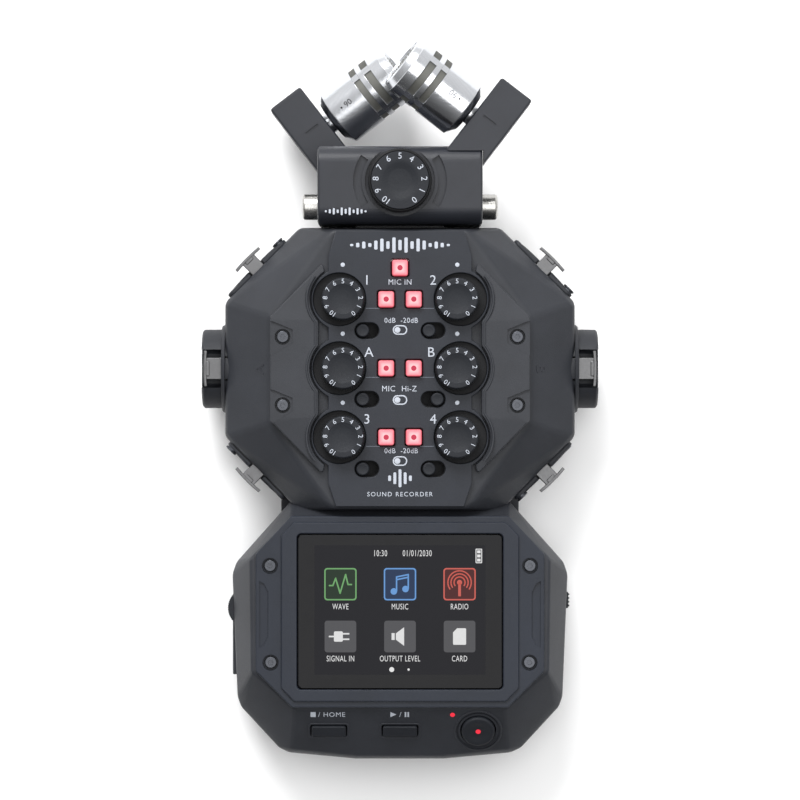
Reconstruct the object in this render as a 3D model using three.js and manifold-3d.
// Portable field recorder: an octagonal input deck above a touch-screen deck, six XLR inputs,
// and a removable stereo microphone module on top.
// Millimetres. The recorder lies on its back: +X to its right, +Y towards the microphones,
// +Z out of the front panel. Everything is drawn from the centre of the octagon, and the whole
// group is then moved so that the origin is under the middle of the recorder's outline.
import * as THREE from 'three';
import { ConvexGeometry } from 'three/addons/geometries/ConvexGeometry.js';
import { mergeVertices } from 'three/addons/utils/BufferGeometryUtils.js';
import Module from 'manifold-3d';

const wasm = await Module();
wasm.setup();

// ---- driving dimensions ----
const gap = 0.35; // air between neighbouring pieces
const wall = 2.2; // casing wall
const deck = { half: 51.2, flat: 19.7, sideFrom: 7, sideTo: 29, top: 39 }; // octagonal deck
const plateau = { x: 38, y: 15.5, endX: 19.5, endY: 40.6 }; // flat top of the octagonal deck
const slope = { topY: -98.8, toeY: -113.4, toeZ: 28.5 }; // lower front face, which falls away
const splitZ = 20; // joint between front and rear casings
const screenTop = 36.5; // flat top of the screen deck
const backInset = 6; // how much narrower the back face is than the outline
const knob = { x: 16.5, rowY: [20.3, 0.3, -19.7], radius: 6.2, well: 9.2, top: 45.4 };
const key = { x: 4, topY: 29.4, size: 4.6, top: 42.6 }; // lit track keys
const pad = { x: 9.6, rowY: [11.2, -8.7, -28.9], travel: 2.4, slotHalf: 3.2, radius: 2 };
const panelTop = 41; // top of the control panel insert
const jack = { radius: 11.6, z: 18, reach: 58.2 }; // combination jacks on the two sides
const xlr = { radius: 10.4, z: 18, depth: 12.5 }; // jacks on the four 45 degree faces
const mic = { halfX: 24, fromY: 42.2, toY: 65, fromZ: 6.5, toZ: 40.5, round: 5 };
const dial = { y: 54.6, radius: 9.3, top: 45.6 };
const capsule = { radius: 9, length: 24.2, lean: 8, rise: 37.5, highZ: 33.4, lowZ: 13.6 };
const glass = { halfX: 29.6, y: -70.4, halfY: 22.3 };

// ---- materials ----
const finish = (color, roughness, metalness = 0) =>
  new THREE.MeshStandardMaterial({ color, roughness, metalness });
const casingPlastic = finish(0x33353a, 0.6);
const panelPlastic = finish(0x24272d, 0.6);
const darkRubber = finish(0x191b1f, 0.75);
const screenGlass = finish(0x08090c, 0.1);
const litKey = finish(0xff7c86, 0.4);
const steel = finish(0xb9b9b6, 0.3, 0.9);
const brightBarrel = finish(0xc9ccd0, 0.25, 0.95);
const boardGreen = finish(0x1d4a30, 0.6);

const part = new THREE.Group();
const add = (name, solid, material, parent = part) => {
  const mesh = new THREE.Mesh(solid.isBufferGeometry ? solid : toGeometry(solid), material);
  mesh.name = name;
  parent.add(mesh);
  return mesh;
};

// ---- solids ----
function toSolid(geometry) {
  const bare = geometry.clone();
  for (const extra of Object.keys(bare.attributes)) {
    if (extra !== 'position') bare.deleteAttribute(extra);
  }
  const merged = mergeVertices(bare, 1e-4);
  return new wasm.Manifold(new wasm.Mesh({
    numProp: 3,
    vertProperties: merged.attributes.position.array,
    triVerts: new Uint32Array(merged.index.array),
  }));
}

function toGeometry(solid) {
  const mesh = solid.getMesh();
  return new THREE.BufferGeometry()
    .setAttribute('position', new THREE.BufferAttribute(mesh.vertProperties, 3))
    .setIndex(new THREE.BufferAttribute(mesh.triVerts, 1));
}

// a closed outline given as [x, y] points, raised from one height to another
function prism(outline, fromZ, toZ) {
  const shape = outline instanceof THREE.Shape
    ? outline
    : new THREE.Shape(outline.map(([x, y]) => new THREE.Vector2(x, y)));
  const options = { depth: toZ - fromZ, bevelEnabled: false, curveSegments: 3 };
  const body = new THREE.ExtrudeGeometry(shape, options);
  return toSolid(body.translate(0, 0, fromZ));
}

// the convex body through rings of [x, y] points, each ring at its own height
function loft(...rings) {
  const points = rings.flatMap(({ outline, z }) => outline.map(([x, y]) => new THREE.Vector3(x, y, z)));
  return toSolid(new ConvexGeometry(points));
}

// a round body about +Z from [radius, height] pairs that start and end on the axis
function turned(profile, sides = 24) {
  return toSolid(new THREE.LatheGeometry(profile.map(([r, h]) => new THREE.Vector2(r, h)), sides)
    .rotateX(Math.PI / 2));
}
const rod = (radius, fromZ, toZ, sides = 24) =>
  turned([[0, fromZ], [radius, fromZ], [radius, toZ], [0, toZ]], sides);

const block = (x0, x1, y0, y1, z0, z1) =>
  toSolid(new THREE.BoxGeometry(x1 - x0, y1 - y0, z1 - z0)
    .translate((x0 + x1) / 2, (y0 + y1) / 2, (z0 + z1) / 2));

// the solid in a frame whose +Z is aimed along a direction, at a place
function aimed(solid, place, direction, roll = 0) {
  const aim = new THREE.Matrix4();
  const z = new THREE.Vector3(...direction).normalize();
  const x = new THREE.Vector3(0, 0, 1).cross(z).normalize();
  aim.makeBasis(x, z.clone().cross(x), z).setPosition(...place);
  aim.multiply(new THREE.Matrix4().makeRotationZ(roll));
  return solid.transform(aim.elements);
}
const moved = (solid, x, y, z) => solid.translate([x, y, z]);
const both = outline => [...outline, ...outline.map(([x, y]) => [-x, y]).reverse()];
const inset = (outline, dx, dy = dx, midY = 0) =>
  outline.map(([x, y]) => [x - dx * Math.sign(x), y - dy * Math.sign(y - midY)]);

// rectangle with rounded corners
function roundedRectangle(x, y, halfX, halfY, radius) {
  const [w, h] = [halfX - radius, halfY - radius];
  const shape = new THREE.Shape();
  shape.absarc(x + w, y + h, radius, 0, Math.PI / 2);
  shape.absarc(x - w, y + h, radius, Math.PI / 2, Math.PI);
  shape.absarc(x - w, y - h, radius, Math.PI, 1.5 * Math.PI);
  shape.absarc(x + w, y - h, radius, 1.5 * Math.PI, 2 * Math.PI);
  shape.closePath();
  return shape;
}

// ---- outlines ----
const endFlat = deck.half - (41.5 - deck.flat); // half width of the octagon's top and bottom edges
const octagon = both([
  [endFlat, -41.5], [deck.half, -deck.flat], [deck.half, deck.flat], [endFlat, 41.5],
]);
const plateauOutline = both([[plateau.endX, -plateau.endY], [plateau.x, -plateau.y],
  [plateau.x, plateau.y], [plateau.endX, plateau.endY]]);
const screenDeckOutline = both([[12.8, -114.2], [32.5, -112.4], [35.5, -111], [46.6, -99], [47.7, -96],
  [49.2, -60], [48, -56.5], [31.5, -38]]);
const screenDeckFront = both([[30.5, slope.topY], [43.2, -87.8], [43.6, -55], [31.5, -43]]);
const screenDeckToe = both([[12.4, slope.toeY], [31.8, -111.4], [45, -97.5], [47.4, -59], [31.5, -40]]);

// ---- casings ----
// the screen deck's outline drawn in towards the back face
const narrowed = outline => outline.map(([x, y]) => [x * 0.9, y < -90 ? y + 5 : y]);

function outerBody() {
  const upper = loft(
    { outline: inset(octagon, backInset), z: 3 },
    { outline: octagon, z: deck.sideFrom },
    { outline: octagon, z: deck.sideTo },
    { outline: plateauOutline, z: deck.top },
  );
  const lower = loft(
    { outline: narrowed(screenDeckOutline), z: 3 },
    { outline: screenDeckOutline, z: 9 },
    { outline: screenDeckOutline, z: 26 },
    { outline: screenDeckToe, z: 28.5 },
    { outline: screenDeckFront, z: screenTop },
  );
  return upper.add(lower);
}

function innerBody() {
  const upper = loft(
    { outline: inset(octagon, backInset + wall), z: 3 + wall },
    { outline: inset(octagon, wall), z: deck.sideFrom },
    { outline: inset(octagon, wall), z: deck.sideTo - wall / 2 },
    { outline: inset(plateauOutline, wall), z: deck.top - wall },
  );
  const hollow = inset(screenDeckOutline, wall, 0).map(([x, y]) => [x, y < -90 ? y + wall : y]);
  const lower = loft(
    { outline: narrowed(hollow), z: 3 + wall },
    { outline: hollow, z: 9 },
    { outline: hollow, z: 24 },
    { outline: inset(screenDeckFront, wall, wall, glass.y), z: screenTop - 2 * wall },
  );
  return upper.add(lower);
}

// the jacks on the four 45 degree faces sit a little nearer the sides than the corners' middles
const corners = [['1', -1, 1], ['2', 1, 1], ['3', -1, -1], ['4', 1, -1]]
  .map(([name, sx, sy]) => ({ name, place: [sx * 41.6, sy * 29.3, xlr.z], direction: [sx, sy, 0] }));
const sides = [['a', -1], ['b', 1]]
  .map(([name, sx]) => ({ name, place: [sx * deck.half, 0.3, jack.z], direction: [sx, 0, 0] }));

const screws = {
  guard: [[34, 9.4], [34, -10.4]],
  frame: [[37.8, -57.1], [37.6, -85.2]],
};
const mirrored = places => places.flatMap(([x, y]) => [[x, y], [-x, y]]);

// screen frame seat and outlines
const frameOutline = both([[31.4, -98.4], [42, -87.8], [42, -53.6], [31.6, -42.6]]);
const frameBase = 34.2;
const frameTop = 38;

// guard plates beside the knobs, with an edge that follows the three wells
function guardOutline(side) {
  const reach = knob.well + 1.3;
  const inner = new THREE.Shape();
  inner.moveTo(side * 37.6, 15.2);
  inner.lineTo(side * 37.6, -14.8);
  inner.lineTo(side * 22.3, -30.6);
  const steps = 7;
  [...knob.rowY].reverse().forEach((y, row) => {
    const [low, high] = [row === 0 ? -56 : -42, row === 2 ? 56 : 42];
    for (let i = 0; i <= steps; i++) {
      const angle = (low + (high - low) * i / steps) * Math.PI / 180;
      inner.lineTo(side * (knob.x + reach * Math.cos(angle)), y + reach * Math.sin(angle));
    }
  });
  inner.lineTo(side * 22.3, 31);
  inner.closePath();
  return inner;
}

// control panel insert: a long plate that widens round each knob
function controlPanel() {
  const plate = prism(both([[18.6, -39.8], [20.8, -33], [20.8, 33], [18.6, 40.2]]), deck.top + gap, panelTop);
  const lobes = knob.rowY.flatMap(y => [-1, 1].map(side =>
    moved(rod(knob.well + 0.9, deck.top + gap, panelTop, 32), side * knob.x, y, 0)));
  const wells = knob.rowY.flatMap(y => [-1, 1].map(side =>
    moved(rod(knob.well - 0.6, panelTop - 1, panelTop + 5, 20), side * knob.x, y, 0)));
  const shafts = knob.rowY.flatMap(y => [-1, 1].map(side =>
    moved(rod(3.4, 0, 60, 12), side * knob.x, y, 0)));
  const keyHoles = keyPlaces.map(([x, y]) =>
    prism(roundedRectangle(x, y, key.size / 2 + gap, key.size / 2 + gap, 0.7), 30, 50));
  const slots = padPlaces.map(({ x, y }) =>
    prism(roundedRectangle(x, y, pad.slotHalf + gap, pad.radius + gap, pad.radius + gap - 0.01), 30, 50));
  return [...wells, ...shafts, ...keyHoles, ...slots]
    .reduce((body, hole) => body.subtract(hole), lobes.reduce((body, lobe) => body.add(lobe), plate));
}
const keyPlaces = [[0, key.topY], ...knob.rowY.flatMap(y => [[-key.x, y], [key.x, y]])];
const padPlaces = pad.rowY.flatMap((y, row) => [-1, 1].map(side =>
  ({ x: side * pad.x, y, at: row === 1 && side > 0 ? 1 : -1 })));

// ---- pieces on the sloping lower face ----
const slopeAngle = Math.atan2(screenTop - slope.toeZ, slope.topY - slope.toeY);
const transport = [{ name: 'home_button', x: -20.8 }, { name: 'play_button', x: 0 }];
const record = { x: 22.8, radius: 4.9 };
const bar = { halfX: 5, halfY: 1.7 };
const slopeY = -105.4;
const slopeZ = screenTop - (slope.topY - slopeY) * Math.tan(slopeAngle);
const onSlope = (solid, x) => solid.rotate([THREE.MathUtils.radToDeg(slopeAngle), 0, 0])
  .translate([x, slopeY, slopeZ]);

// ---- microphone module ----
const rise = THREE.MathUtils.degToRad(capsule.rise);
const lean = THREE.MathUtils.degToRad(capsule.lean);
const capsuleAxis = side => [
  -side * Math.cos(rise) * Math.cos(lean), Math.sin(rise) * Math.cos(lean), Math.sin(lean),
];
const capsuleBase = side => [side * 19.5, side > 0 ? 75.1 : 74, side > 0 ? capsule.highZ : capsule.lowZ];
const armEnd = side => [side * 34, side > 0 ? 81.4 : 80.2];

// rounded bar across the recorder, its section drawn in Y and Z
function micBlock(grow = 0) {
  const [y, z] = [(mic.fromY + mic.toY) / 2, (mic.fromZ + mic.toZ) / 2];
  const [halfZ, halfY] = [(mic.toZ - mic.fromZ) / 2 + grow, (mic.toY - mic.fromY) / 2 + grow];
  const section = roundedRectangle(0, 0, halfZ, halfY, mic.round);
  return moved(prism(section, -mic.halfX - grow, mic.halfX + grow).rotate([0, 90, 0]), 0, y, z);
}
const dialHole = moved(rod(3.5, 28, 60), 0, dial.y, 0);
const dialSeat = moved(rod(dial.radius + 0.9, mic.toZ - 1.2, 60, 28), 0, dial.y, 0);
const releasePlace = { y: 47.9, z: 22 };
const tongue = { halfX: 13, halfZ: 4, z: 22, depth: 8 };

function micHousing() {
  const innerX = mic.halfX - wall;
  const cavity = block(-innerX, innerX, mic.fromY + wall, mic.toY - wall, 0, mic.toZ - 4);
  const sideHole = rod(4.1, -40, 40, 24).rotate([0, 90, 0]);
  const releaseHole = moved(sideHole, 0, releasePlace.y, releasePlace.z);
  const nose = block(-tongue.halfX, tongue.halfX, mic.fromY - tongue.depth, mic.fromY + 1,
    tongue.z - tongue.halfZ, tongue.z + tongue.halfZ);
  const fingerArcs = turned([[11, 39.6], [13, 39.6], [13, 50], [11, 50], [11, 39.6]], 32)
    .intersect(block(-20, 20, -7, 7, 30, 60));
  return micBlock().subtract(cavity).subtract(releaseHole).subtract(dialHole).subtract(dialSeat)
    .subtract(moved(fingerArcs, 0, dial.y, 0)).subtract(block(-40, 40, 30, 80, 0, 9)).add(nose);
}

function micArm(side) {
  const [endX, endY] = armEnd(side);
  const z = side > 0 ? capsule.highZ : capsule.lowZ;
  const [ax, ay] = [side * Math.sin(rise), Math.cos(rise)];
  const [bx, by] = [side * ay * 5.6, -Math.abs(ax) * 5.6];
  const root = 27;
  const arm = prism([
    [endX + bx, endY + by], [endX - bx, endY - by],
    [endX - bx - ax * root, endY - by - ay * root], [endX + bx - ax * root, endY + by - ay * root],
  ], z - 6.2, z + 6.2);
  const bore = aimed(rod(3.3, -30, 3, 24), capsuleBase(side), capsuleAxis(side));
  const notch = block(-2.2, 2.2, -0.4, 0.4, z + 5.7, z + 8).rotate([0, 0, -side * capsule.rise])
    .translate([endX - ax * 11.6 - side * 1, endY - ay * 11.6, 0]);
  return arm.subtract(micBlock(gap)).subtract(bore).subtract(notch);
}

function micCapsule(side) {
  const { radius: r, length } = capsule;
  const barrel = turned([[0, -6], [3, -6], [3, -0.2], [6.2, -0.2], [r, 1.6],
    [r, 12.2], [r - 0.5, 12.2], [r - 0.5, 14.3], [r, 14.3],
    [r, 16], [r - 0.5, 16], [r - 0.5, 18.4], [r, 18.4],
    [r, length - 0.8], [r - 0.8, length], [r - 1.6, length + 0.1], [0, length + 0.3]], 26);
  return aimed(barrel, capsuleBase(side), capsuleAxis(side));
}

// ---- jacks and their release levers, made along +Z with the latch towards +X ----
function xlrJack() {
  const flange = prism(roundedRectangle(0, 0, 10.2, 11.6, 2), 0.1, 1);
  const hub = rod(xlr.radius, -xlr.depth, 1, 24);
  const groove = turned([[8, -9], [9.2, -9], [9.2, 5], [8, 5], [8, -9]], 16);
  const pins = [-90, 90, 180].map(turn => moved(rod(1.25, -9, 5, 6),
    4.2 * Math.cos(turn * Math.PI / 180), 4.2 * Math.sin(turn * Math.PI / 180), 0));
  const latchSlot = block(7.4, 12, -2.8, 2.8, -8, 5);
  return pins.concat(groove, latchSlot).reduce((body, cut) => body.subtract(cut), flange.add(hub));
}

function comboJack() {
  const reach = jack.reach - deck.half;
  const barrel = turned([[0, -14], [jack.radius, -14], [jack.radius, reach - 0.7], [jack.radius - 0.7, reach],
    [0, reach]], 28);
  const collar = turned([[0, 0.1], [jack.radius + 1.6, 0.1], [jack.radius + 1, 1.2], [0, 1.2]], 28);
  const groove = turned([[7.9, -6], [9.5, -6], [9.5, 20], [7.9, 20], [7.9, -6]], 24);
  const mouth = rod(3.3, -12, 20, 16);
  const pins = [-90, 90, 180].map(turn => moved(rod(1.25, -6, 20, 6),
    5.6 * Math.cos(turn * Math.PI / 180), 5.6 * Math.sin(turn * Math.PI / 180), 0));
  const latchSlot = block(6.6, 20, -5.6, 5.6, 1.2, 20);
  const stemSlot = block(7, 11.2, -3.6, 3.6, -8, 5);
  return pins.concat(groove, mouth, latchSlot, stemSlot)
    .reduce((body, cut) => body.subtract(cut), barrel.add(collar));
}

function releaseLever(width, stemWidth, reach, fromX, toX) {
  const plate = block(fromX - 0.6, toX + 0.6, -width / 2, width / 2, reach - 1, reach);
  const stem = block(fromX, toX, -stemWidth / 2, stemWidth / 2, -5, reach - 0.5);
  return plate.add(stem);
}

// ---- front and rear casings ----
function casing() {
  let body = outerBody().subtract(innerBody());
  const cut = solid => { body = body.subtract(solid); };
  corners.forEach(({ place, direction }) =>
    cut(aimed(rod(xlr.radius + gap, -30, 9, 24), place, direction)));
  sides.forEach(({ place, direction }) =>
    cut(aimed(rod(jack.radius + gap, -12, 9, 28), place, direction)));
  keyPlaces.forEach(([x, y]) => cut(block(x - 2.7, x + 2.7, y - 2.7, y + 2.7, 30, 60)));
  padPlaces.forEach(({ x, y }) => cut(block(x - 3.6, x + 3.6, y - 2.3, y + 2.3, 30, 60)));
  knob.rowY.forEach(y => [-1, 1].forEach(side =>
    cut(moved(rod(3.4, 30, 60, 12), side * knob.x, y, 0))));
  cut(prism(inset(frameOutline, -gap, -gap, glass.y), frameBase - gap, 60)); // seat of the screen frame
  cut(block(-27, 27, -91, -50, 20, 60)); // window behind the display
  transport.forEach(({ x }) => cut(onSlope(block(-bar.halfX - gap, bar.halfX + gap, -bar.halfY - gap,
    bar.halfY + gap, -12, 10), x)));
  cut(onSlope(rod(record.radius + gap, -12, 10, 24), record.x));
  const ring = turned([[5.9, -0.4], [6.4, -0.4], [6.4, 5], [5.9, 5], [5.9, -0.4]], 24);
  cut(onSlope(ring, record.x));
  cut(block(-15.6 - gap, 15.6 + gap, 30, 50, 15.5 - gap, 28.5 + gap)); // socket of the microphone module
  screws.guard.concat(screws.frame).forEach(([x, y]) => [-1, 1].forEach(side =>
    cut(moved(rod(1.2, 30, 60, 12), side * x, y, 0))));
  return body;
}

const rail = { fromX: 30.5, toX: 35.5, fromY: -94, toY: 21 };
const cells = { radius: 7.2, pitch: 14.6, fromY: -91, toY: -40.5, z: 10.6 };
const tripod = { y: 17, radius: 5.2 };
const wheel = { x: -44.6, y: -70, z: 23, radius: 6 };
const powerSwitch = { y: -68, z: 17, travel: 3 };
const door = { y: -78, z: 13, halfY: 12, halfZ: 4.5, x: -49.2 };

function rearCasing(shell) {
  let body = shell.subtract(block(-90, 90, -200, 90, splitZ - gap, 90));
  [-1, 1].forEach(side => {
    const edges = [side * rail.fromX, side * rail.toX];
    body = body.add(block(Math.min(...edges), Math.max(...edges), rail.fromY, rail.toY, 0, 3.5));
  });
  body = body.add(block(-rail.toX, rail.toX, 12.6, rail.toY, 0, 3.5));
  body = body.add(moved(rod(tripod.radius + 2, 1, 12, 32), 0, tripod.y, 0));
  body = body.subtract(moved(rod(tripod.radius + gap, -1, 10.4, 32), 0, tripod.y, 0));
  return body.subtract(block(-29.6, 29.6, -92.6, -39, -1, 12)); // battery opening
}

const shell = casing()
  .subtract(moved(rod(wheel.radius + 0.8, -2.4, 2.4), wheel.x, wheel.y, wheel.z))
  .subtract(block(40, 60, powerSwitch.y - 5.6, powerSwitch.y + 5.6,
    powerSwitch.z - 1.9, powerSwitch.z + 1.9))
  .subtract(block(-60, -46, door.y - door.halfY - gap, door.y + door.halfY + gap,
    door.z - door.halfZ - gap, door.z + door.halfZ + gap));
add('front_housing', shell.subtract(block(-90, 90, -200, 90, -10, splitZ)), casingPlastic);
add('rear_housing', rearCasing(shell), casingPlastic);
const coverOutline = both([[27, -97], [29.8, -94], [29.8, 8.2], [28.6, 9.2]]);
add('battery_cover', prism(coverOutline, 0.5, 2.6), casingPlastic);
const insert = rod(tripod.radius, 0.4, 10, 32).subtract(rod(2.9, 0, 9, 20));
add('tripod_insert', moved(insert, 0, tripod.y, 0), steel);

const fourCells = [-1.5, -0.5, 0.5, 1.5].map(n =>
  moved(rod(cells.radius, cells.fromY, cells.toY, 12).rotate([-90, 0, 0]), n * cells.pitch, 0, cells.z));
const cellTray = block(-28.6, 28.6, cells.fromY + 4, cells.toY - 4, cells.z, cells.z + 2);
add('battery_cells', fourCells.reduce((body, cell) => body.add(cell), cellTray), steel);
add('main_board', prism(inset(octagon, 14), 30.5, 32.1), boardGreen);

// ---- screen ----
const frameHole = roundedRectangle(0, glass.y, glass.halfX + gap, glass.halfY + gap, 1.2);
const frameBody = loft(
  { outline: frameOutline, z: frameBase },
  { outline: frameOutline, z: 36.9 },
  { outline: inset(frameOutline, 0.8, 0.8, glass.y), z: frameTop },
);
const raisedRim = loft(
  { outline: both([[30.8, -96.6], [34.6, -92.6], [34.6, -48.4], [30.8, -44.4]]), z: frameTop - 1 },
  { outline: both([[30.4, -95.8], [33.8, -92.2], [33.8, -48.8], [30.4, -45.2]]), z: frameTop + 0.9 },
);
const screwWells = mirrored(screws.frame).map(([x, y]) => moved(rod(2.3, frameTop - 1.6, 60, 16)
  .add(rod(1.2, 0, 60, 12)), x, y, 0));
add('screen_frame', screwWells.reduce((body, well) => body.subtract(well), frameBody.add(raisedRim))
  .subtract(prism(frameHole, 0, 60)), panelPlastic);
add('touch_glass', prism(roundedRectangle(0, glass.y, glass.halfX, glass.halfY, 1), 37.1, 38.5), screenGlass);
add('lcd_panel', block(-26.5, 26.5, -90.4, -50.4, 33, 36.7), screenGlass);

// ---- control panel and its controls ----
add('control_panel', controlPanel(), panelPlastic);
const guardWells = screws.guard.map(([x, y]) =>
  moved(rod(2.3, 41.4, 60, 16).add(rod(1.2, 0, 60, 12)), x, y, 0));
const guardRight = guardWells.reduce((body, well) => body.subtract(well),
  prism(guardOutline(1), deck.top + gap, 42.9));
add('guard_right', guardRight, casingPlastic);
add('guard_left', guardRight.mirror([1, 0, 0]), casingPlastic);

const knobNames = ['1', '2', 'a', 'b', '3', '4'];
knob.rowY.flatMap(y => [-1, 1].map(side => [side * knob.x, y])).forEach(([x, y], i) => {
  const body = turned([[0, 36], [2.8, 36], [2.8, panelTop - 0.4], [knob.radius, panelTop - 0.4],
    [knob.radius, knob.top - 0.6], [knob.radius - 0.6, knob.top], [0, knob.top]], 20);
  add(`gain_knob_${knobNames[i]}`, moved(body, x, y, 0), darkRubber);
});
const keyNames = ['mic', ...knobNames];
keyPlaces.forEach(([x, y], i) => {
  const body = prism(roundedRectangle(x, y, key.size / 2, key.size / 2, 0.6), 37, key.top);
  add(`track_key_${keyNames[i]}`, body, litKey);
});
padPlaces.forEach(({ x, y, at }, i) => {
  const body = rod(pad.radius - 0.1, 37, 41.9, 20);
  add(`pad_switch_${knobNames[i]}`, moved(body, x + at * pad.travel / 2, y, 0), darkRubber);
});

// ---- transport buttons ----
transport.forEach(({ name, x }) => {
  const body = prism(roundedRectangle(0, 0, bar.halfX, bar.halfY, 0.5), -5, 0.7);
  add(name, onSlope(body, x), darkRubber);
});
const recordBody = turned([[0, -5], [record.radius, -5], [record.radius, 0.5],
  [record.radius - 0.5, 1], [0, 1]], 28);
add('record_button', onSlope(recordBody, record.x), darkRubber);

// ---- jacks ----
corners.forEach(({ name, place, direction }) => {
  add(`xlr_jack_${name}`, aimed(xlrJack(), place, direction, Math.PI / 2), darkRubber);
  const lever = releaseLever(9.6, 4.6, 4.9, 8, 9.9);
  add(`xlr_release_${name}`, aimed(lever, place, direction, Math.PI / 2), steel);
});
sides.forEach(({ name, place, direction }) => {
  add(`combo_jack_${name}`, aimed(comboJack(), place, direction, Math.PI / 2), darkRubber);
  const lever = releaseLever(10.4, 6.4, 6.4, 7.7, 10.4);
  add(`combo_release_${name}`, aimed(lever, place, direction, Math.PI / 2), steel);
});

// ---- side controls ----
add('volume_wheel', moved(rod(wheel.radius, -2, 2, 28), wheel.x, wheel.y, wheel.z), darkRubber);
add('power_switch', block(44, 49.9, powerSwitch.y - 2.4, powerSwitch.y + 2.4,
  powerSwitch.z - 1.5, powerSwitch.z + 1.5), darkRubber);
add('card_door', block(door.x - 0.2, -46.6, door.y - door.halfY, door.y + door.halfY,
  door.z - door.halfZ, door.z + door.halfZ), casingPlastic);
add('capsule_socket', block(-15.6, 15.6, 31.5, 41.3, 15.5, 28.5)
  .subtract(block(-13.5, 13.5, 33, 50, 17.5, 26.5)), steel);

// ---- microphone module ----
add('mic_housing', micHousing(), panelPlastic);
add('mic_back_cover', block(-mic.halfX + 0.6, mic.halfX - 0.6, mic.fromY + 3, mic.toY - 3,
  mic.fromZ, 8.6), panelPlastic);
add('mic_dial', moved(turned([[0, 33], [3, 33], [3, mic.toZ - 0.8], [dial.radius, mic.toZ - 0.8],
  [dial.radius, dial.top - 0.7], [dial.radius - 0.7, dial.top], [5.8, dial.top],
  [0, dial.top - 0.9]], 28), 0, dial.y, 0), darkRubber);
[['left', -1], ['right', 1]].forEach(([name, side]) => {
  const plunger = turned([[0, 14], [3.75, 14], [3.75, 28], [3.1, 28.7], [0, 28.9]], 24)
    .rotate([0, side * 90, 0]);
  add(`mic_release_${name}`, moved(plunger, 0, releasePlace.y, releasePlace.z), steel);
  add(`mic_arm_${name}`, micArm(side), panelPlastic);
  add(`mic_capsule_${name}`, micCapsule(side), brightBarrel);
});

const extent = new THREE.Box3().setFromObject(part);
part.position.y = -(extent.min.y + extent.max.y) / 2;

export default part;
